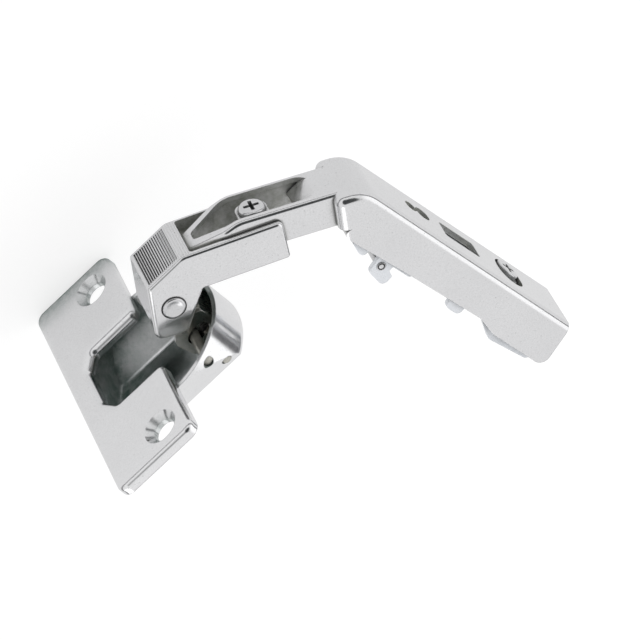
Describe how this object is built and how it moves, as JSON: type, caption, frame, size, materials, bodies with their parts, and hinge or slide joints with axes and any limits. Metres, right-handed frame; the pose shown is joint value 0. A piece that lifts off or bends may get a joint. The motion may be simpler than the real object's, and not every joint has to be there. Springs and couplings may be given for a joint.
{
  "type": "cranked concealed hinge",
  "caption": "Cranked clip-on concealed cabinet hinge: drawn cup with flange, linked ridged nose, cranked arm and clip base with lever.",
  "frame": {"origin": "midway between the two flange screws, on the door's face", "axes": "+Y into the door, +Z along the pivots, -X from the cup towards the arm; shown with the door open"},
  "size_m": [0.083, 0.085, 0.0658],
  "materials": {
    "cup": "nickel plated pressed steel",
    "front_axle": "bare drawn steel",
    "deep_axle": "bare drawn steel",
    "outer_link": "nickel plated steel",
    "rivet_link": "nickel plated steel",
    "closing_spring": "drawn spring wire",
    "nose_piece": "nickel plated pressed steel",
    "nose_rivet": "nickel plated, domed",
    "nose_pins": "bare drawn steel",
    "rivet_spacers": "turned steel",
    "nose_saddle": "zinc plated steel",
    "cranked_arm": "nickel plated pressed steel",
    "overlay_screw": "nickel plated screw",
    "clip_base": "bluish zinc plated pressed steel",
    "catch_pin": "zinc plated steel",
    "depth_cam_screw": "nickel plated eccentric",
    "release_lever": "bluish zinc plated pressed steel",
    "lever_pin": "zinc plated steel",
    "lever_spring": "drawn spring wire"
  },
  "bodies": {
    "cup": {"cup": "cup", "front_axle": "front_axle", "deep_axle": "deep_axle"},
    "rivet_link": {"rivet_link": "rivet_link"},
    "outer_link": {"outer_link": "outer_link", "closing_spring": "closing_spring"},
    "nose": {"nose_piece": "nose_piece", "nose_rivet": "nose_rivet", "nose_pins": "nose_pins", "rivet_spacers": "rivet_spacers", "nose_saddle": "nose_saddle"},
    "arm": {"cranked_arm": "cranked_arm"},
    "overlay_screw": {"overlay_screw": "overlay_screw"},
    "clip": {"clip_base": "clip_base", "catch_pin": "catch_pin", "lever_pin": "lever_pin", "lever_spring": "lever_spring"},
    "depth_cam": {"depth_cam_screw": "depth_cam_screw"},
    "lever": {"release_lever": "release_lever"}
  },
  "joints": [
    {"name": "main_fold", "type": "hinge", "parent": "cup", "child": "rivet_link", "pos_m": [-0.0142, 0.00217, 0], "axis": [0, 0, 1], "range_deg": [0, 82.5]},
    {"name": "nose_turn", "type": "hinge", "parent": "rivet_link", "child": "nose", "pos_m": [-0.0168, -0.0083, 0], "axis": [0, 0, 1], "range_deg": [0, 31.5]},
    {"name": "outer_link_turn", "type": "hinge", "parent": "cup", "child": "outer_link", "pos_m": [-0.01637, 0.00692, 0], "axis": [0, 0, 1], "range_deg": [0, 30.5]},
    {"name": "overlay_turn", "type": "hinge", "parent": "arm", "child": "overlay_screw", "pos_m": [-0.04261, -0.00942, 0.0011], "axis": [-0.5446, -0.8387, 0], "range_deg": [-260, 260]},
    {"name": "overlay_tilt", "type": "hinge", "parent": "nose", "child": "arm", "pos_m": [-0.02748, -0.01293, 0], "axis": [0, 0, 1], "range_deg": [-1.95, 1.95]},
    {"name": "cam_turn", "type": "hinge", "parent": "clip", "child": "depth_cam", "pos_m": [-0.06674, 0.05101, 0], "axis": [-0.9956, -0.0941, 0], "range_deg": [-53.13, 53.13]},
    {"name": "depth_slide", "type": "slide", "parent": "arm", "child": "clip", "axis": [-0.0941, 0.9956, 0], "range_m": [-0.0008, 0.0008]},
    {"name": "lever_press", "type": "hinge", "parent": "clip", "child": "lever", "pos_m": [-0.06091, 0.05729, 0], "axis": [0, 0, 1], "range_deg": [0, 8], "stiffness_Nm_per_rad": 0.05}
  ],
  "couplings": [
    {"joint": "nose_turn", "follows": "main_fold", "ratio": 0.38182},
    {"joint": "outer_link_turn", "follows": "main_fold", "ratio": 0.3697},
    {"joint": "overlay_turn", "follows": "overlay_tilt", "ratio": 133.33},
    {"joint": "cam_turn", "follows": "depth_slide", "rad_per_m": 1159.1}
  ]
}
